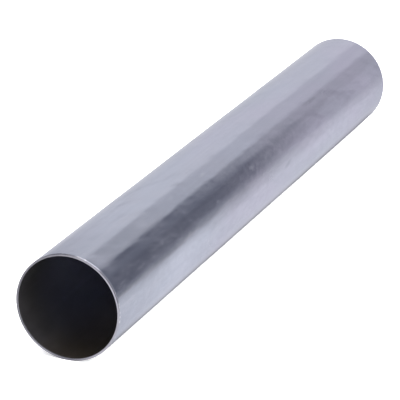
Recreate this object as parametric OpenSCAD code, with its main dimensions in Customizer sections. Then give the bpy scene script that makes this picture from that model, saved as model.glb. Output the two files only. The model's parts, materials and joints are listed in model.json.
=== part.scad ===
// Thin-walled round steel conduit pipe, one plain cut length lying on a level floor.
// The pipe runs along X. The origin is on the floor, under the middle of its length,
// so the pipe's own axis is at y = 0, z = pipe_od / 2.

/* [Pipe] */
// Outside diameter
pipe_od = 88.9; // [63.5:0.1:114.3]
// Wall thickness
wall_t = 1.83; // [1.2:0.01:3.0]
// Cut length, end face to end face
pipe_len = 650; // [150:5:3050]

/* [Cut ends] */
// Radius of the broken outer edge of each end
outer_edge_r = 0.5; // [0.1:0.05:0.6]
// Width and depth of the reamed chamfer at each mouth of the bore
bore_chamfer = 0.35; // [0.1:0.05:0.5]

/* [Hidden] */
$fn = 128;
r_out = pipe_od / 2;
r_in = r_out - wall_t;
// Colour of the bare zinc-plated steel
steel = [0.72, 0.73, 0.80];

// Half section of the wall in the plane that turns about the pipe's axis:
// first value outwards from the axis, second value along the pipe.
module wall_section() {
    union() {
        // flat part of the end faces, with the chamfered bore mouths
        polygon([
            [r_in, bore_chamfer],
            [r_in + bore_chamfer, 0],
            [r_out - outer_edge_r, 0],
            [r_out - outer_edge_r, pipe_len],
            [r_in + bore_chamfer, pipe_len],
            [r_in, pipe_len - bore_chamfer]
        ]);
        // outer skin between the broken edges
        translate([r_out - 2 * outer_edge_r, outer_edge_r])
            square([2 * outer_edge_r, pipe_len - 2 * outer_edge_r]);
        // broken outer edges
        for (y = [outer_edge_r, pipe_len - outer_edge_r])
            translate([r_out - outer_edge_r, y]) circle(r = outer_edge_r, $fn = 48);
    }
}

// One length of pipe: the wall section turned once about the pipe's axis.
module conduit_pipe() {
    color(steel)
        translate([-pipe_len / 2, 0, r_out])
            rotate([0, 90, 0])
                rotate_extrude() wall_section();
}

conduit_pipe();
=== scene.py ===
import json
import math

import bpy
import numpy as np
from mathutils import Matrix, Vector


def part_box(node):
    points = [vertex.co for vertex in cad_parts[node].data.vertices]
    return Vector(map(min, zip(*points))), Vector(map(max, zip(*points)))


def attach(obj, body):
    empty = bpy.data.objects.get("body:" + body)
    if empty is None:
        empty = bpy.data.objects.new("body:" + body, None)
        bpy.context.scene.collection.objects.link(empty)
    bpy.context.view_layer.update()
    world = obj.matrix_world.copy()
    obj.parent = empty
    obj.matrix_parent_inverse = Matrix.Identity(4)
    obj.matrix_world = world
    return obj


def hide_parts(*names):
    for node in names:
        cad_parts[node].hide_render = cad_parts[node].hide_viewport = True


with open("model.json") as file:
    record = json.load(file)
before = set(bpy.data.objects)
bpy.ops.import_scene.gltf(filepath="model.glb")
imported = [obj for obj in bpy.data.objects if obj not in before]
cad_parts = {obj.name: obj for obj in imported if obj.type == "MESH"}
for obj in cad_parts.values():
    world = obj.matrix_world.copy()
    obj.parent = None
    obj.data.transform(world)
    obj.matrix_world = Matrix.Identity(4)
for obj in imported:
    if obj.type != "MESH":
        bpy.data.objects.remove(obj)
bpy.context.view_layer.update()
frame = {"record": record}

# ---------------------------------------------------------------- sizes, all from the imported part
NODE = "conduit_pipe"
lo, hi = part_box(NODE)
MOUNTS = {m["name"]: m for m in frame["record"]["mounts"]}
R_OUT = MOUNTS["outside"]["dims"]["r_mm"] / 1000.0
R_IN = MOUNTS["bore"]["dims"]["r_mm"] / 1000.0
X_A, X_B = lo.x, hi.x                       # the two cut faces
LEN = X_B - X_A
EDGE_R = (LEN - MOUNTS["outside"]["dims"]["length_mm"] / 1000.0) / 2.0   # broken outer edge
CHAMFER = (LEN - MOUNTS["bore"]["dims"]["length_mm"] / 1000.0) / 2.0     # reamed mouth of the bore
MOUTH = 0.45 * CHAMFER                      # the part of that chamfer that is a sharp break
ROLL_A, ROLL_B = 4.8 * EDGE_R, 0.9 * EDGE_R   # how far the cutter rolls that edge over, along the pipe and inwards
AXIS_Z = MOUNTS["bore"]["pos_m"][2]


# ---------------------------------------------------------------- small node language
class Tree:
    """Shorthand for building a node tree. Every method returns an output socket."""

    def __init__(self, tree):
        self.tree = tree
        tree.nodes.clear()
        self.count = 0

    def node(self, kind, **props):
        n = self.tree.nodes.new(kind)
        n.location = ((self.count % 12) * 190, -(self.count // 12) * 260)
        self.count += 1
        for key, value in props.items():
            setattr(n, key, value)
        return n

    def put(self, value, socket):
        if isinstance(value, bpy.types.NodeSocket):
            self.tree.links.new(value, socket)
        elif value is not None:
            if hasattr(socket.default_value, "__len__") and not hasattr(value, "__len__"):
                value = [value] * len(socket.default_value)
            if hasattr(socket.default_value, "__len__") and len(socket.default_value) == 4 and len(value) == 3:
                value = (*value, 1.0)
            socket.default_value = value

    def math(self, op, a, b=None, c=None, clamp=False):
        n = self.node("ShaderNodeMath", operation=op, use_clamp=clamp)
        for value, socket in zip((a, b, c), n.inputs):
            self.put(value, socket)
        return n.outputs[0]

    def add(self, a, b): return self.math("ADD", a, b)
    def sub(self, a, b): return self.math("SUBTRACT", a, b)
    def mul(self, a, b): return self.math("MULTIPLY", a, b)

    def vec(self, op, a, b=None, out=0):
        n = self.node("ShaderNodeVectorMath", operation=op)
        self.put(a, n.inputs[0])
        if b is not None:
            self.put(b, n.inputs[3] if op == "SCALE" else n.inputs[1])
        return n.outputs["Value" if op in ("DOT_PRODUCT", "LENGTH", "DISTANCE") else "Vector"]

    def split(self, v):
        n = self.node("ShaderNodeSeparateXYZ")
        self.put(v, n.inputs[0])
        return n.outputs[0], n.outputs[1], n.outputs[2]

    def join(self, x, y, z):
        n = self.node("ShaderNodeCombineXYZ")
        for value, socket in zip((x, y, z), n.inputs):
            self.put(value, socket)
        return n.outputs[0]

    def noise(self, v, scale=1.0, detail=2.0, rough=0.5, distortion=0.0, lac=2.0):
        n = self.node("ShaderNodeTexNoise", noise_dimensions="3D")
        self.put(v, n.inputs["Vector"])
        self.put(scale, n.inputs["Scale"])
        self.put(detail, n.inputs["Detail"])
        self.put(rough, n.inputs["Roughness"])
        self.put(lac, n.inputs["Lacunarity"])
        self.put(distortion, n.inputs["Distortion"])
        return n.outputs["Fac"]

    def voronoi(self, v, scale=1.0, feature="F1", rand=1.0):
        n = self.node("ShaderNodeTexVoronoi", feature=feature)
        self.put(v, n.inputs["Vector"])
        self.put(scale, n.inputs["Scale"])
        self.put(rand, n.inputs["Randomness"])
        return n.outputs["Distance"]

    def span(self, value, a, b, lo=0.0, hi=1.0, smooth=True):
        """value from a to b becomes lo to hi, held outside."""
        n = self.node("ShaderNodeMapRange", interpolation_type="SMOOTHSTEP" if smooth else "LINEAR")
        n.clamp = True
        flip = a > b
        if flip:
            a, b, lo, hi = b, a, hi, lo
        for value_, socket in zip((value, a, b, lo, hi), n.inputs):
            self.put(value_, socket)
        return n.outputs[0]

    def mix(self, fac, a, b, blend="MIX"):
        n = self.node("ShaderNodeMix", data_type="RGBA", blend_type=blend, clamp_factor=True)
        self.put(fac, n.inputs[0])
        self.put(a, n.inputs[6])
        self.put(b, n.inputs[7])
        return n.outputs[2]

    def blend(self, fac, a, b):
        n = self.node("ShaderNodeMix", data_type="FLOAT", clamp_factor=True)
        self.put(fac, n.inputs[0])
        self.put(a, n.inputs[2])
        self.put(b, n.inputs[3])
        return n.outputs[0]

    def bump(self, height, distance, strength=1.0, normal=None):
        n = self.node("ShaderNodeBump")
        self.put(strength, n.inputs["Strength"])
        self.put(distance, n.inputs["Distance"])
        self.put(height, n.inputs["Height"])
        if normal is not None:
            self.put(normal, n.inputs["Normal"])
        return n.outputs["Normal"]

    def largest(self, *values):
        out = values[0]
        for v in values[1:]:
            out = self.math("MAXIMUM", out, v)
        return out


def new_material(name):
    m = bpy.data.materials.new(name)
    m.use_nodes = True
    t = Tree(m.node_tree)
    out = t.node("ShaderNodeOutputMaterial")
    p = t.node("ShaderNodeBsdfPrincipled")
    m.node_tree.links.new(p.outputs[0], out.inputs["Surface"])
    return m, t, p


def axis_coords(t):
    """Object coordinates measured from the pipe's own axis."""
    c = t.node("ShaderNodeTexCoord").outputs["Object"]
    return t.vec("SUBTRACT", c, (0.0, 0.0, AXIS_Z))


def stretched(t, v, along, across):
    return t.vec("MULTIPLY", v, (along, across, across))


def twisted(t, v, turn):
    """v turned about the pipe's axis by turn radians a metre, so that a pattern runs slantwise."""
    x, y, z = t.split(v)
    a = t.mul(x, turn)
    c, s = t.math("COSINE", a), t.math("SINE", a)
    return t.join(x, t.sub(t.mul(y, c), t.mul(z, s)), t.add(t.mul(y, s), t.mul(z, c)))


# ---------------------------------------------------------------- zinc-plated outer skin
def spot(t, v, share, phi, half_x, half_t, turn=0.0, soft=0.5, ragged=None, rag=0.35):
    """1 inside an ellipse on the outer skin, centred at a share of the length and an angle from straight up."""
    a = math.radians(phi)
    centre = (X_A + share * LEN, -R_OUT * math.sin(a), R_OUT * math.cos(a))
    tangent = (0.0, -math.cos(a), -math.sin(a))
    d = t.vec("SUBTRACT", v, centre)
    u, w = t.vec("DOT_PRODUCT", d, (1.0, 0.0, 0.0)), t.vec("DOT_PRODUCT", d, tangent)
    depth = t.vec("DOT_PRODUCT", d, (0.0, -math.sin(a), math.cos(a)))
    c, s = math.cos(math.radians(turn)), math.sin(math.radians(turn))
    e1 = t.math("DIVIDE", t.add(t.mul(u, c), t.mul(w, s)), half_x)
    e2 = t.math("DIVIDE", t.sub(t.mul(w, c), t.mul(u, s)), half_t)
    r = t.math("SQRT", t.add(t.math("POWER", e1, 2.0), t.math("POWER", e2, 2.0)))
    if ragged is not None:
        r = t.add(r, t.mul(t.sub(ragged, 0.5), rag * 2))
    inside = t.span(r, 1.0, 1.0 - soft)
    return t.mul(inside, t.span(depth, -R_OUT, -R_OUT * 0.6))


def zinc_steel():
    m, t, p = new_material("zinc_steel_skin")
    v = axis_coords(t)
    x, y, z = t.split(v)

    # patterns, from coarse to fine
    w = twisted(t, v, -8.5)
    cloud = t.noise(stretched(t, w, 11.0, 30.0), detail=2.0, rough=0.5)
    tint = t.noise(stretched(t, v, 5.0, 11.0), detail=1.0, rough=0.5)
    patch = t.noise(stretched(t, v, 20.0, 70.0), detail=3.0, rough=0.55, distortion=0.3)
    streak = t.noise(stretched(t, v, 9.0, 150.0), detail=2.0, rough=0.5, distortion=0.2)
    dent = t.noise(stretched(t, v, 20.0, 120.0), detail=1.0, rough=0.4)
    ripple = t.noise(stretched(t, v, 75.0, 120.0), detail=1.0, rough=0.4)
    feather = t.noise(stretched(t, v, 95.0, 270.0), detail=1.0, rough=0.5)
    fleck = t.noise(stretched(t, v, 230.0, 320.0), detail=2.0, rough=0.6)
    low_side = t.span(z, 0.34 * R_OUT, 0.13 * R_OUT)
    draw = t.noise(stretched(t, v, 6.0, 620.0), detail=3.0, rough=0.6)
    fine = t.noise(stretched(t, v, 16.0, 1900.0), detail=2.0, rough=0.5)
    grain = t.noise(v, scale=1500.0, detail=2.0, rough=0.6)

    # base colour: blue zinc, with violet and blue-green drift, cloudy veils and soft streaks along the pipe
    c = t.mix(t.span(tint, 0.35, 0.66), (0.526, 0.553, 0.648), (0.562, 0.549, 0.660))
    c = t.mix(t.mul(t.span(cloud, 0.36, 0.66), 0.5), c, (0.516, 0.536, 0.622))
    even = t.mul(t.span(t.vec("DOT_PRODUCT", v, (0.0, -0.766, 0.643)), 0.80 * R_OUT, 0.97 * R_OUT), t.span(x, 0.03, 0.12))
    c = t.mix(t.mul(t.span(patch, 0.40, 0.70), t.sub(0.26, t.mul(even, 0.16))), c, (0.598, 0.606, 0.692))
    c = t.mix(t.mul(t.span(streak, 0.46, 0.66), 0.12), c, (0.486, 0.494, 0.570))
    c = t.mix(t.mul(t.span(streak, 0.50, 0.34), 0.10), c, (0.610, 0.614, 0.700))
    c = t.mix(t.mul(t.span(draw, 0.38, 0.66), 0.045), c, (0.430, 0.440, 0.515))
    c = t.mix(t.mul(t.span(fine, 0.52, 0.74), 0.05), c, (0.690, 0.700, 0.765))

    mottle = t.noise(stretched(t, v, 120.0, 240.0), detail=2.0, rough=0.55)
    amount = t.largest(low_side, t.mul(t.span(y, 0.06 * R_OUT, 0.24 * R_OUT), 1.35), t.mul(t.span(x, -0.18, 0.0, 0.0, 0.45), t.sub(1.0, even)))
    c = t.mix(t.mul(amount, t.span(mottle, 0.38, 0.62)), c, t.vec("SCALE", c, 0.968))

    # handling marks
    scuff_noise = t.noise(stretched(t, v, 130.0, 260.0), detail=1.0, rough=0.5)
    light = t.largest(
        spot(t, v, 0.467, 57.0, 0.0095, 0.0034, turn=12, soft=1.0, ragged=scuff_noise),
        spot(t, v, 0.353, 28.0, 0.0100, 0.0022, turn=-4, soft=1.0, ragged=scuff_noise, rag=0.15),
        t.mul(spot(t, v, 0.250, 25.5, 0.0110, 0.0020, turn=-9, soft=1.0, ragged=scuff_noise, rag=0.15), 0.5),
        t.mul(spot(t, v, 0.230, 70.0, 0.0090, 0.0020, turn=-9, soft=1.0, ragged=scuff_noise), 0.8),
        t.mul(spot(t, v, 0.337, 62.0, 0.0060, 0.0020, turn=9, soft=1.0, ragged=scuff_noise), 0.8),
    )
    dark = t.largest(
        spot(t, v, 0.293, 18.5, 0.0130, 0.0042, turn=12, soft=1.0, ragged=scuff_noise),
        spot(t, v, 0.580, 84.0, 0.0120, 0.0030, turn=-10, soft=1.0, ragged=scuff_noise),
        spot(t, v, 0.735, 40.5, 0.0260, 0.0026, turn=3, soft=1.0, ragged=scuff_noise),
    )
    c = t.mix(t.mul(light, 0.20), c, (0.74, 0.75, 0.80))
    c = t.mix(t.mul(dark, 0.35), c, (0.39, 0.40, 0.46))

    # a few faint hairline scratches, mostly along the pipe
    warp = t.vec("ADD", v, t.vec("SCALE", t.join(0.0, t.sub(cloud, 0.5), t.sub(streak, 0.5)), 0.012))
    hair = t.voronoi(stretched(t, warp, 5.0, 90.0), feature="DISTANCE_TO_EDGE")
    hair = t.mul(t.span(hair, 0.030, 0.0), t.span(patch, 0.50, 0.70))
    c = t.mix(t.mul(hair, 0.10), c, (0.71, 0.72, 0.78))

    # handling wear: plating rubbed bright beside each cut end, and a painted highlight of bright dashes on the rolled
    # edge
    end = t.math("MINIMUM", t.sub(x, X_A), t.sub(X_B, x))
    ragged_end = t.add(end, t.mul(t.sub(patch, 0.5), 0.004))
    wear = t.span(ragged_end, 0.0030, 0.0003)
    c = t.mix(t.mul(wear, 0.15), c, (0.70, 0.70, 0.75))
    # painted highlight: bright dashes in the colour along the rolled edge near each end, standing in for broken glints
    # there
    painted_glint_dash = t.span(t.noise(stretched(t, v, 90.0, 360.0), detail=1.0, rough=0.5), 0.55, 0.64)
    c = t.mix(t.mul(painted_glint_dash, t.mul(t.span(end, 0.0026, 0.0014), t.span(end, 0.0, 0.0004))), c, (0.90, 0.90, 0.94))
    t.put(c, p.inputs["Base Color"])

    # a thin dusty haze, which shows where the metal mirrors something dark
    dust = t.noise(stretched(t, w, 16.0, 110.0), detail=3.0, rough=0.55, distortion=0.4)
    haze = t.add(t.mul(t.span(dust, 0.46, 0.74), 0.012), t.mul(t.mul(t.span(fleck, 0.54, 0.72), t.span(patch, 0.40, 0.60)), 0.020))
    haze = t.add(haze, t.add(t.mul(light, 0.012), t.mul(hair, 0.008)))
    t.put(t.sub(1.0, haze), p.inputs["Metallic"])
    p.inputs["Specular Tint"].default_value = (0.74, 0.75, 0.80, 1.0)
    smear = t.noise(stretched(t, w, 26.0, 80.0), detail=2.0, rough=0.55, distortion=0.4)
    rough = t.add(0.105, t.mul(t.span(cloud, 0.30, 0.72), 0.02))
    rough = t.add(rough, t.mul(t.span(patch, 0.42, 0.75), 0.06))
    rough = t.add(rough, t.mul(t.span(smear, 0.46, 0.74), 0.09))
    rough = t.add(rough, t.mul(t.span(draw, 0.35, 0.70), 0.02))
    rough = t.add(rough, t.mul(t.largest(t.mul(light, 0.7), t.mul(dark, 0.5), t.mul(hair, 0.3)), 0.14))
    rough = t.add(rough, t.mul(wear, 0.10))
    t.put(rough, p.inputs["Roughness"])

    height = t.add(t.mul(draw, 0.20), t.add(t.mul(fine, 0.10), t.mul(grain, 0.04)))
    height = t.add(height, t.mul(hair, -0.1))
    n = t.bump(height, 0.000008, 0.5)
    calm = t.span(x, X_A, X_A + 0.26, 0.25, 1.0)
    n = t.bump(t.mul(t.sub(dent, 0.5), calm), 0.000100, 1.0, n)
    n = t.bump(t.mul(t.sub(ripple, 0.5), t.mul(calm, t.span(x, 0.0, 0.16, 1.0, 0.4))), 0.000070, 1.0, n)
    n = t.bump(t.mul(t.sub(feather, 0.5), t.sub(t.add(1.0, low_side), t.mul(even, 0.6))), 0.000042, 1.0, n)
    t.put(n, p.inputs["Normal"])
    return m


# ---------------------------------------------------------------- cut and deburred end faces
def cut_steel():
    m, t, p = new_material("cut_steel_end")
    v = axis_coords(t)
    x, y, z = t.split(v)
    radius = t.vec("LENGTH", t.join(0.0, y, z))
    rings = t.noise(t.join(t.mul(radius, 9000.0), t.mul(y, 22.0), t.mul(z, 22.0)), detail=2.0, rough=0.6)
    cloud = t.noise(v, scale=120.0, detail=3.0, rough=0.6)
    saw = t.noise(stretched(t, v, 1.0, 700.0), detail=3.0, rough=0.6)
    c = t.mix(t.span(cloud, 0.35, 0.68), (0.47, 0.462, 0.535), (0.53, 0.520, 0.585))
    c = t.mix(t.mul(t.span(rings, 0.42, 0.66), 0.35), c, (0.37, 0.362, 0.41))
    c = t.mix(t.mul(t.span(saw, 0.55, 0.72), 0.25), c, (0.33, 0.32, 0.36))
    c = t.mix(t.span(radius, R_IN + 0.9 * MOUTH, R_IN + 0.5 * MOUTH), c, t.vec("SCALE", c, 0.35))     # the reamed break is stained
    t.put(c, p.inputs["Base Color"])
    p.inputs["Metallic"].default_value = 1.0
    t.put(t.add(0.15, t.add(t.mul(rings, 0.12), t.mul(cloud, 0.08))), p.inputs["Roughness"])
    n = t.bump(rings, 0.00001, 0.6)
    n = t.bump(saw, 0.00001, 0.4, n)
    t.put(n, p.inputs["Normal"])
    return m


# ---------------------------------------------------------------- dark lining of the bore
def bore_lining():
    m, t, p = new_material("bore_lining")
    v = axis_coords(t)
    x, y, z = t.split(v)
    cloud = t.noise(stretched(t, v, 14.0, 30.0), detail=4.0, rough=0.6)
    runs = t.noise(stretched(t, v, 5.0, 260.0), detail=3.0, rough=0.6)
    speck = t.noise(v, scale=900.0, detail=2.0, rough=0.6)
    end = t.math("MINIMUM", t.sub(x, X_A), t.sub(X_B, x))
    # near black lining at the mouths, easing to a lighter grey-blue further in; the lighter depth is painted light,
    # standing in for light that comes in through the far opening
    c = t.mix(t.span(cloud, 0.35, 0.68), (0.0178, 0.0170, 0.0182), (0.0248, 0.0232, 0.0248))
    c = t.mix(t.span(end, 0.018, 0.160), c, t.mix(t.span(cloud, 0.35, 0.68), (0.155, 0.168, 0.272), (0.185, 0.194, 0.300)))
    # painted shade: darker and warmer round the low side
    low = t.vec("DOT_PRODUCT", t.join(0.0, y, z), (0.0, -0.5 / R_IN, -0.866 / R_IN))
    c = t.mix(t.span(low, 0.25, 1.0), c, t.vec("MULTIPLY", c, (1.06, 0.90, 0.64)))
    c = t.mix(t.mul(t.span(runs, 0.45, 0.70), 0.3), c, t.vec("SCALE", c, 1.5))
    c = t.mix(t.mul(t.span(speck, 0.60, 0.75), 0.3), c, t.vec("SCALE", c, 2.0))
    ragged_end = t.add(end, t.mul(t.sub(cloud, 0.5), 0.003))
    bare = t.span(ragged_end, 0.0013, 0.0003)
    c = t.mix(t.mul(bare, 0.8), c, (0.22, 0.22, 0.24))
    t.put(c, p.inputs["Base Color"])
    t.put(t.mul(bare, 0.8), p.inputs["Metallic"])
    t.put(t.add(0.42, t.mul(runs, 0.16)), p.inputs["Roughness"])
    p.inputs["IOR"].default_value = 1.45
    n = t.bump(t.add(t.mul(runs, 0.5), t.mul(speck, 0.3)), 0.00003, 0.5)
    t.put(n, p.inputs["Normal"])
    return m


# ---------------------------------------------------------------- the pipe's mesh
def waves(seed, count, x_wave, turns):
    """A fixed sum of long low waves over the pipe's skin, in units of its own amplitude."""
    rng = np.random.default_rng(seed)
    terms = []
    for _ in range(count):
        k = int(rng.integers(turns[0], turns[1] + 1))
        wavelength = rng.uniform(*x_wave)
        terms.append((k, 2 * math.pi / wavelength * rng.choice([-1, 1]), rng.uniform(0, 2 * math.pi), rng.uniform(0.5, 1.0)))
    norm = math.sqrt(sum(a * a for *_, a in terms) / 2)

    def value(x, phi):
        return sum(a * np.cos(k * phi + w * x + p0) for k, w, p0, a in terms) / norm

    return value


def profile(roll_a, roll_b):
    """The wall's section as one closed loop of (x, radius, zone), outer skin first."""
    pts = []
    n_arc, n_out, n_in = 12, 150, 60
    # outer skin, from end A to end B
    xa, xb = X_A + roll_a, X_B - roll_a
    support = 0.0006
    xs = np.concatenate([[xa, xa + support, xa + 0.0016, xa + 0.0032], np.linspace(xa + 0.006, xb - 0.006, n_out),
                         [xb - 0.0032, xb - 0.0016, xb - support, xb]])
    pts += [(x, R_OUT, "skin") for x in xs]
    # broken outer edge at B
    for i in range(1, n_arc + 1):
        a = math.pi / 2 * i / n_arc
        pts.append((xb + roll_a * math.sin(a), R_OUT - roll_b * (1 - math.cos(a)), "skin" if i < n_arc // 2 else "cut"))
    # end face B, inwards, and the reamed chamfer
    r0, r1 = R_OUT - roll_b, R_IN + MOUTH
    pts += [(X_B, r0 + (r1 - r0) * f, "cut") for f in (0.12, 0.5, 0.88, 1.0)]
    pts += [(X_B - MOUTH * f, r1 - MOUTH * f, "cut") for f in (0.1, 0.5, 0.9)]
    # bore, from B back to A
    xs = np.concatenate([[X_B - MOUTH, X_B - MOUTH - 0.0006, X_B - MOUTH - 0.002],
                         np.linspace(X_B - 0.006, X_A + 0.006, n_in),
                         [X_A + MOUTH + 0.002, X_A + MOUTH + 0.0006, X_A + MOUTH]])
    pts += [(x, R_IN, "bore") for x in xs]
    # chamfer and end face at A
    pts += [(X_A + MOUTH * f, R_IN + MOUTH * (1 - f), "cut") for f in (0.9, 0.5, 0.1)]
    pts += [(X_A, r1 + (r0 - r1) * f, "cut") for f in (0.0, 0.12, 0.5, 0.88, 1.0)]
    # broken outer edge at A
    for i in range(1, n_arc):
        a = math.pi / 2 * i / n_arc
        pts.append((xa - roll_a * math.cos(a), R_OUT - roll_b * (1 - math.sin(a)), "cut" if i <= n_arc // 2 else "skin"))
    return pts


def build_pipe(name):
    pts, tight = profile(ROLL_A, ROLL_B), profile(0.3 * ROLL_A, 0.3 * ROLL_B)
    n_seg = 288
    px = np.array([q[0] for q in pts])
    pr = np.array([q[1] for q in pts])
    zone = [q[2] for q in pts]
    m = len(pts)
    phi = np.linspace(-math.pi, math.pi, n_seg, endpoint=False)      # the seam is the line that lies on the floor
    PHI = np.repeat(phi[None, :], m, axis=0)
    # the cutter bore hardest on one side of the rim, so the edge is rolled broadly there and tightly elsewhere
    turn = np.abs((phi - math.radians(50.0) + math.pi) % (2 * math.pi) - math.pi)
    hard = np.clip((math.radians(95.0) - turn) / math.radians(35.0), 0.0, 1.0)
    hard = hard * hard * (3 - 2 * hard)
    X = px[:, None] * hard + np.array([q[0] for q in tight])[:, None] * (1 - hard)
    Rr = pr[:, None] * hard + np.array([q[1] for q in tight])[:, None] * (1 - hard)
    # long, shallow waves that rolling and straightening leave in the wall, the same inside and out
    long_wave = waves(11, 7, (0.16, 0.50), (2, 4))
    mid_wave = waves(23, 14, (0.07, 0.24), (4, 11))
    small_wave = waves(37, 60, (0.035, 0.120), (16, 52))
    settle = np.clip((X - X_A) / 0.26, 0.0, 1.0)
    calm = 0.25 + 0.75 * settle * settle * (3 - 2 * settle)
    d = 0.000048 * long_wave(X, PHI) + calm * (0.0000230 * mid_wave(X, PHI) + 0.0000100 * small_wave(X, PHI))
    # the cutter rolls the last few millimetres of each end very slightly inwards
    end = np.minimum(X - X_A, X_B - X)
    d -= 0.00004 * np.exp(-end / 0.0028)
    Rr = Rr + d
    # the bottom line stays on the floor
    Y = -Rr * np.sin(PHI)
    Z = AXIS_Z + Rr * np.cos(PHI)
    Z = np.maximum(Z, 0.0)
    co = np.stack([X, Y, Z], axis=-1).reshape(-1, 3)
    i = np.arange(m)
    j = np.arange(n_seg)
    I, J = np.meshgrid(i, j, indexing="ij")
    I2, J2 = (I + 1) % m, (J + 1) % n_seg
    a, b, c, e = I * n_seg + J, I2 * n_seg + J, I2 * n_seg + J2, I * n_seg + J2
    faces = np.stack([a, b, c, e], axis=-1).reshape(-1, 4)
    mesh = bpy.data.meshes.new(name)
    mesh.from_pydata(co.tolist(), [], faces.tolist())
    # one of three finishes for each ring of faces
    order = {"skin": 0, "cut": 1, "bore": 2}
    ring = []
    for k in range(m):
        za, zb = zone[k], zone[(k + 1) % m]
        if za == zb:
            ring.append(order[za])
        elif "bore" in (za, zb):
            ring.append(1)
        else:
            ring.append(1)
    mesh.polygons.foreach_set("material_index", np.repeat(np.array(ring, np.int32), n_seg))
    mesh.polygons.foreach_set("use_smooth", np.ones(len(faces), bool))
    # a flat layout: the skin and the bore unrolled side by side, and the two cut ends as strips round the pipe
    layout = mesh.uv_layers.new(name="OFBake")
    step = np.hypot(np.diff(np.append(px, px[0])), np.diff(np.append(pr, pr[0])))
    begin = next(k for k in range(m) if ring[k] == 0 and ring[k - 1] != 0)
    uv = np.zeros((m, n_seg, 4, 2))
    f0, f1 = j / n_seg, (j + 1) / n_seg
    strips = {0: iter([(0.004, 0.494)]), 2: iter([(0.502, 0.900)]), 1: iter([(0.912, 0.945), (0.957, 0.990)])}
    k = 0
    while k < m:
        run = [(begin + k) % m]
        while k + len(run) < m and ring[(begin + k + len(run)) % m] == ring[run[0]]:
            run.append((begin + k + len(run)) % m)
        v0, v1 = next(strips[ring[run[0]]])
        whole = sum(step[q] for q in run)
        at = 0.0
        for q in run:
            t0, t1 = at / whole, (at + step[q]) / whole
            at += step[q]
            for corner, (tt, ff) in enumerate(((t0, f0), (t1, f0), (t1, f1), (t0, f1))):
                if ring[q] == 1:
                    uv[q, :, corner, 0] = 0.004 + 0.992 * ff
                    uv[q, :, corner, 1] = v0 + (v1 - v0) * tt
                else:
                    uv[q, :, corner, 0] = 0.004 + 0.992 * tt
                    uv[q, :, corner, 1] = v0 + (v1 - v0) * ff
        k += len(run)
    layout.uv.foreach_set("vector", uv.reshape(-1))
    mesh.update()
    mesh.validate()
    ob = bpy.data.objects.new(name, mesh)
    bpy.context.scene.collection.objects.link(ob)
    return ob, m, n_seg, zone


def outward(ob):
    """True if the closed mesh's faces point outwards."""
    mesh = ob.data
    mesh.calc_loop_triangles()
    n = len(mesh.loop_triangles)
    tri = np.empty(n * 3, np.int32)
    mesh.loop_triangles.foreach_get("vertices", tri)
    co = np.empty(len(mesh.vertices) * 3)
    mesh.vertices.foreach_get("co", co)
    q = co.reshape(-1, 3)[tri.reshape(-1, 3)]
    return float(np.einsum("ij,ij->i", q[:, 0], np.cross(q[:, 1], q[:, 2])).sum()) > 0


pipe, RINGS, SEGS, ZONE = build_pipe("pipe_length")
if not outward(pipe):
    pipe.data.flip_normals()
for maker in (zinc_steel, cut_steel, bore_lining):
    pipe.data.materials.append(maker())

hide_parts(NODE)
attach(pipe, "root")


# ---------------------------------------------------------------- studio: floor, tent and lamps
scene = bpy.context.scene
scene.cycles.glossy_bounces = 10
scene.view_settings.view_transform = "Standard"
scene.view_settings.look = "None"
scene.view_settings.exposure = 0.0
scene.view_settings.gamma = 1.0


def plane(name, half, z=0.0):
    mesh = bpy.data.meshes.new(name)
    mesh.from_pydata([(-half, -half, z), (half, -half, z), (half, half, z), (-half, half, z)], [], [(0, 1, 2, 3)])
    ob = bpy.data.objects.new(name, mesh)
    scene.collection.objects.link(ob)
    return ob


floor = plane("studio_floor", 60.0)
m, t, p = new_material("studio_floor_paint")
p.inputs["Base Color"].default_value = (0.86, 0.86, 0.86, 1.0)
p.inputs["Roughness"].default_value = 1.0
p.inputs["Specular IOR Level"].default_value = 0.0
p.inputs["Emission Color"].default_value = (1.0, 1.0, 1.0, 1.0)     # a light table: the floor glows a little
p.inputs["Emission Strength"].default_value = 0.40
floor.data.materials.append(m)
floor.visible_glossy = False

world = bpy.data.worlds.new("studio_world")
scene.world = world
world.use_nodes = True
wt = Tree(world.node_tree)
bg = wt.node("ShaderNodeBackground")
bg.inputs["Color"].default_value = (1.0, 1.0, 1.0, 1.0)
bg.inputs["Strength"].default_value = 1.30
wo = wt.node("ShaderNodeOutputWorld")
world.node_tree.links.new(bg.outputs[0], wo.inputs["Surface"])


def area(name, where, size, power, target=(0.0, 0.0, AXIS_Z)):
    data = bpy.data.lights.new(name, "AREA")
    data.shape = "RECTANGLE"
    data.size, data.size_y = size
    data.energy = power
    ob = bpy.data.objects.new(name, data)
    scene.collection.objects.link(ob)
    ob.location = where
    ob.rotation_mode = "QUATERNION"
    ob.rotation_quaternion = (Vector(target) - Vector(where)).to_track_quat("-Z", "Y")
    ob.visible_glossy = False
    ob.visible_camera = False
    return ob


area("overhead_softbox", (-0.4, 0.1, 3.2), (4.0, 4.0), 150.0)
area("side_softbox", (0.0, -2.6, 1.8), (5.0, 1.6), 140.0)

# The tent: a tunnel of white and grey panels round the pipe, with a table card, which only reflections see.
TENT_R, TENT_X = 1.0, (-8.0, 10.0)


def only_reflected(ob):
    for flag in ("visible_camera", "visible_diffuse", "visible_transmission", "visible_volume_scatter", "visible_shadow"):
        setattr(ob, flag, False)


def glowing(name):
    m = bpy.data.materials.new(name)
    m.use_nodes = True
    t = Tree(m.node_tree)
    out = t.node("ShaderNodeOutputMaterial")
    em = t.node("ShaderNodeEmission")
    m.node_tree.links.new(em.outputs[0], out.inputs["Surface"])
    return m, t, em


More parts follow.
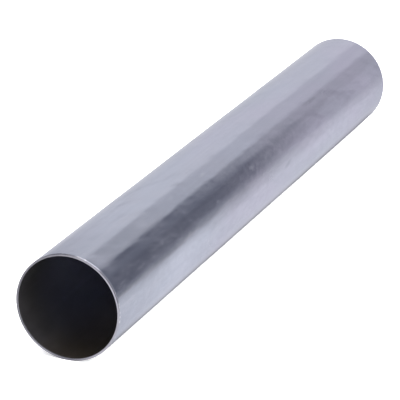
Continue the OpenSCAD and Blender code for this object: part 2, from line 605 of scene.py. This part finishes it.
def tent():
    mesh = bpy.data.meshes.new("studio_tent")
    a0 = math.acos(-AXIS_Z / TENT_R)
    n = 96
    verts, faces = [], []
    for k in range(n + 1):
        a = -a0 + 2 * a0 * k / n
        for xx in TENT_X:
            verts.append((xx, -TENT_R * math.sin(a), AXIS_Z + TENT_R * math.cos(a)))
    for k in range(n):
        faces.append((2 * k, 2 * k + 1, 2 * k + 3, 2 * k + 2))
    faces += [tuple(range(0, 2 * n + 2, 2)), tuple(range(2 * n + 1, 0, -2))]      # a curtain at each end
    mesh.from_pydata(verts, [], faces)
    ob = bpy.data.objects.new("studio_tent", mesh)
    scene.collection.objects.link(ob)
    only_reflected(ob)
    m, t, em = glowing("studio_tent_cloth")
    v = axis_coords(t)
    x, y, z = t.split(v)
    psi = t.mul(t.math("ARCTAN2", t.mul(y, -1.0), z), 180 / math.pi)
    # white cloth, a little weaker over the near end
    c = t.mix(t.span(x, 1.12, 1.44), WHITE_NEAR, WHITE)
    c = t.mix(t.span(x, 1.50, 2.40), c, WHITE_FAR)
    c = t.mix(t.mul(t.span(psi, -22.0, -46.0), t.mul(t.span(x, 1.22, 1.36), t.span(x, 2.0, 1.7))), c, t.vec("SCALE", c, 1.055))
    # grey panel above
    grey = t.mul(t.span(psi, -12.0, -4.5), t.span(psi, 33.0, 28.0))
    c = t.mix(grey, c, t.mix(t.span(x, 2.10, 2.45), t.mix(t.span(x, 1.15, 1.78), GREY_NEAR, GREY_MID), GREY_FAR))
    # dark panel at the side, which ends on a slant a little beyond the pipe's middle
    begins = t.span(x, 1.40, 1.55, 25.4, 23.4)
    side = t.span(t.math("DIVIDE", t.sub(psi, begins), t.sub(32.8, begins)), 0.0, 1.0)
    tone = t.mix(t.mul(t.span(psi, 44.0, 38.5), t.span(x, 1.56, 1.42)), DARK_UPPER, DARK_FIRST)
    tone = t.mix(t.span(psi, 50.0, 60.0), tone, DARK_LOWER)
    lifted = t.mix(t.span(x, 1.52, 1.70), DARK_LIFTED, DARK_LOWER_FAR)
    tone = t.mix(t.mul(t.span(psi, 60.0, 68.0), t.span(x, 1.45, 1.55)), tone, lifted)
    tone = t.mix(t.mul(t.span(psi, 40.0, 48.0), t.span(x, 1.62, 1.46)), tone, t.vec("SCALE", tone, 0.94))
    start = t.span(x, 1.28, 1.50, 84.0, 75.0)
    edge = t.span(t.math("DIVIDE", t.sub(psi, start), t.sub(94.0, start)), 0.0, 1.0)
    tone = t.mix(edge, tone, t.mix(t.span(x, 1.30, 1.52), DARK_EDGE, DARK_EDGE_FAR))
    first = t.span(psi, 38.0, 56.0, 1.51, 1.76)
    last = t.sub(t.span(psi, 38.0, 59.0, 1.89, 2.18), t.span(psi, 74.0, 86.0, 0.0, 0.06))
    far = t.span(t.math("DIVIDE", t.sub(x, first), t.sub(last, first)), 0.0, 1.0, smooth=False)
    upper = t.mix(t.span(x, 2.0, 2.4), FAR_UPPER, END_UPPER)
    lower = t.mix(t.span(x, 2.0, 2.4), DARK_FAR, DARK_END)
    c = t.mix(side, c, t.mix(far, tone, t.mix(t.span(psi, 50.0, 72.0), upper, lower)))
    # a grey flag behind the near end
    flag = t.mul(t.mul(t.span(psi, -80.0, -66.0), t.span(psi, -15.0, -26.0)), t.mul(t.span(x, -3.2, -2.2), t.span(x, 1.06, 0.86)))
    c = t.mix(flag, c, FLAG)
    # a gap before the dark panel
    gap = t.mul(t.span(psi, 34.0, 42.0), t.mul(t.span(x, 0.12, 0.35), t.span(x, 0.88, 0.66)))
    c = t.mix(gap, c, GAP)
    # the cloth's seam beside the softbox
    seam = t.mul(t.mul(t.span(psi, -14.0, -6.0), t.span(psi, 50.0, 42.0)), t.mul(t.span(x, 0.86, 0.92), t.span(x, 1.22, 1.14)))
    c = t.mix(seam, c, t.vec("SCALE", c, 0.84))
    # softbox over the near end
    box = t.mul(t.mul(t.span(psi, -12.0, -4.0), t.span(psi, 38.0, 30.0)), t.mul(t.span(x, 0.05, 0.35), t.span(x, 0.87, 0.64)))
    c = t.mix(box, c, SOFTBOX)
    # grey curtains close both ends, lighter towards the top
    across = t.vec("LENGTH", t.join(0.0, y, z))
    curtain = t.mul(t.span(across, 0.9995 * TENT_R, 0.985 * TENT_R), t.span(t.math("ABSOLUTE", t.sub(x, 1.0)), 8.5, 8.9))
    c = t.mix(curtain, c, t.mix(t.span(z, 0.05, 0.95), (0.42, 0.42, 0.45), (0.80, 0.80, 0.82)))
    t.put(c, em.inputs["Color"])
    ob.data.materials.append(m)

    # the table card, a glowing painted reflection of the floor that only reflections see: light by the pipe, dark
    # further off at the side, and a painted contact shadow darkest where the pipe touches it
    mesh = bpy.data.meshes.new("studio_table_card")
    w, zc = TENT_R * 0.999, 0.0002
    mesh.from_pydata([(TENT_X[0], -w, zc), (TENT_X[1], -w, zc), (TENT_X[1], w, zc), (TENT_X[0], w, zc)], [], [(0, 1, 2, 3)])
    ob = bpy.data.objects.new("studio_table_card", mesh)
    scene.collection.objects.link(ob)
    only_reflected(ob)
    m, t, em = glowing("studio_table_card_paint")
    x, y, z = t.split(axis_coords(t))
    out_y = t.mul(y, -1.0)
    off = t.math("LOGARITHM", t.math("MAXIMUM", out_y, 0.001), 10.0)       # log10 of metres to the side
    along = t.sub(x, t.mul(out_y, 1.7))                                  # about where the pipe mirrors this spot
    close = t.mix(t.span(along, -0.26, -0.16), TABLE, TABLE_MID)
    close = t.mix(t.span(along, 0.14, 0.32), close, TABLE_FAR)
    by_near = t.mix(t.span(off, -0.94, -0.04), close, t.mix(t.span(along, -0.29, -0.21), TABLE_OFF, TABLE_OFF_NEXT))
    by_mid = t.mix(t.span(off, -1.02, 0.0, smooth=False), close, TABLE_OFF_MID)
    by_far = t.mix(t.span(off, -1.0, -0.35, smooth=False), close, TABLE_OFF_FAR)
    c = t.mix(t.span(along, -0.24, -0.10), by_near, by_mid)
    c = t.mix(t.span(along, -0.02, 0.26), c, by_far)
    # painted shade: weaker before the near end, and weakest behind a slant line from the pipe's foot
    c = t.mix(t.span(along, -0.23, -0.33), c, t.vec("SCALE", c, 0.86))
    c = t.mix(t.mul(t.span(t.add(along, t.span(off, -0.80, -1.0, 0.0, 0.03)), -0.310, -0.328), t.span(off, -0.45, -0.74)), c, t.vec("SCALE", c, 0.94))
    # painted shade and light: patches of the card darkened or lightened where the pipe mirrors them
    dip = t.mul(t.mul(t.span(along, -0.21, -0.13), t.span(along, 0.02, -0.08)), t.span(off, -1.0, -0.72))
    c = t.mix(dip, c, t.vec("SCALE", c, 0.88))
    c = t.mix(t.mul(t.mul(t.span(along, -0.22, -0.17), t.span(along, -0.09, -0.13)), t.span(off, -1.08, -0.85)), c, t.vec("SCALE", c, 0.94))
    c = t.mix(t.mul(t.mul(t.span(along, -0.01, 0.03), t.span(along, 0.15, 0.09)), t.span(off, -0.97, -0.74)), c, t.vec("SCALE", c, 0.935))
    c = t.mix(t.mul(t.span(along, 0.20, 0.28), t.mul(t.span(off, -1.06, -0.80), t.span(off, -0.30, -0.62))), c, t.vec("SCALE", c, 0.92))
    c = t.mix(t.mul(t.mul(t.span(along, 0.10, 0.15), t.span(along, 0.30, 0.22)), t.span(off, -0.75, -0.50)), c, t.vec("SCALE", c, 1.06))
    c = t.mix(t.mul(t.mul(t.span(along, -0.30, -0.26), t.span(along, -0.16, -0.20)), t.span(off, -0.75, -0.50)), c, t.vec("SCALE", c, 1.07))
    # painted shadow: the card darkened just before the near end, beyond a slant line from the pipe's foot
    slant = t.sub(y, t.mul(t.sub(X_A, x), 0.38))
    before = t.mul(t.span(x, X_A + 0.022, X_A - 0.022), t.span(slant, -0.012, 0.052))
    c = t.mix(before, c, t.vec("SCALE", c, 0.42))
    # painted light: a brighter strip on the card further before the near end
    lit = t.mul(t.span(x, X_A - 0.250, X_A - 0.215), t.mul(t.span(x, X_A - 0.128, X_A - 0.146), t.span(slant, -0.008, -0.024)))
    c = t.mix(lit, c, t.vec("SCALE", c, 1.75))
    # painted contact shadow: the card darkest where the pipe's foot touches it
    wide = t.span(x, 0.10, 0.24, 0.94, 1.0)
    near_foot = t.math("DIVIDE", t.math("ABSOLUTE", y), t.mul(wide, R_OUT))
    touch_shadow = t.mul(t.span(near_foot, 1.0, 0.42), t.mul(t.span(x, X_A - 0.016, X_A + 0.006), t.span(x, X_B + 0.050, X_B + 0.010)))
    c = t.mix(touch_shadow, c, TOUCH_SHADOW)
    t.put(c, em.inputs["Color"])
    ob.data.materials.append(m)


WHITE, WHITE_NEAR, WHITE_FAR = (0.892, 0.892, 0.902), (0.735, 0.738, 0.750), (0.940, 0.938, 0.948)
GREY_NEAR, GREY_MID, GREY_FAR = (0.518, 0.521, 0.543), (0.728, 0.729, 0.753), (0.782, 0.782, 0.810)
DARK_UPPER, DARK_LOWER, DARK_EDGE = (0.228, 0.234, 0.273), (0.182, 0.185, 0.220), (0.345, 0.347, 0.385)
DARK_LIFTED, DARK_LOWER_FAR, DARK_EDGE_FAR = (0.226, 0.230, 0.266), (0.200, 0.203, 0.238), (0.412, 0.414, 0.448)
DARK_FAR, DARK_END = (0.714, 0.710, 0.744), (0.697, 0.693, 0.727)
FAR_UPPER, END_UPPER = (0.560, 0.558, 0.586), (0.612, 0.609, 0.640)
DARK_FIRST = (0.186, 0.190, 0.226)
SOFTBOX, FLAG, GAP = (1.90, 1.88, 1.90), (0.24, 0.24, 0.26), (0.58, 0.58, 0.60)
TABLE, TABLE_MID, TABLE_FAR = (1.118, 1.118, 1.128), (1.014, 1.014, 1.024), (0.936, 0.931, 0.946)
TABLE_OFF, TABLE_OFF_NEXT, TABLE_OFF_MID = (0.305, 0.305, 0.325), (0.475, 0.475, 0.495), (0.495, 0.495, 0.515)
TABLE_OFF_FAR, TOUCH_SHADOW = (0.675, 0.671, 0.705), (0.14, 0.14, 0.16)
tent()

# ---------------------------------------------------------------- camera
# A long lens, level, looking down 19.6 degrees on the near end.
AZ, EL, FOCAL, DIST = 0.4068, 0.3166, 2630.0, 46.18 * R_OUT
U0, V0 = 67.318, 307.820
d_cam = Vector((math.cos(EL) * math.sin(AZ), math.sin(EL), -math.cos(EL) * math.cos(AZ)))
pitch = math.atan(math.tan(EL) / math.cos(AZ))
n_cam = Vector((0.0, math.cos(pitch), math.sin(pitch)))
y_cam = n_cam.cross(d_cam)
to_world = Matrix((d_cam, y_cam, n_cam))            # camera axes to the row frame
near = Vector(((U0 - 200) / FOCAL * DIST, -(V0 - 200) / FOCAL * DIST, -DIST))
near_world = Vector((X_A, 0.0, AXIS_Z))
cam_data = bpy.data.cameras.new("camera")
cam = bpy.data.objects.new("camera", cam_data)
scene.collection.objects.link(cam)
cam.rotation_mode = "QUATERNION"
cam.rotation_quaternion = to_world.to_quaternion()
cam.location = near_world - to_world @ near
cam_data.sensor_width = 36.0
cam_data.lens = FOCAL / 400.0 * 36.0
cam_data.clip_start, cam_data.clip_end = 0.05, 200.0
scene.camera = cam
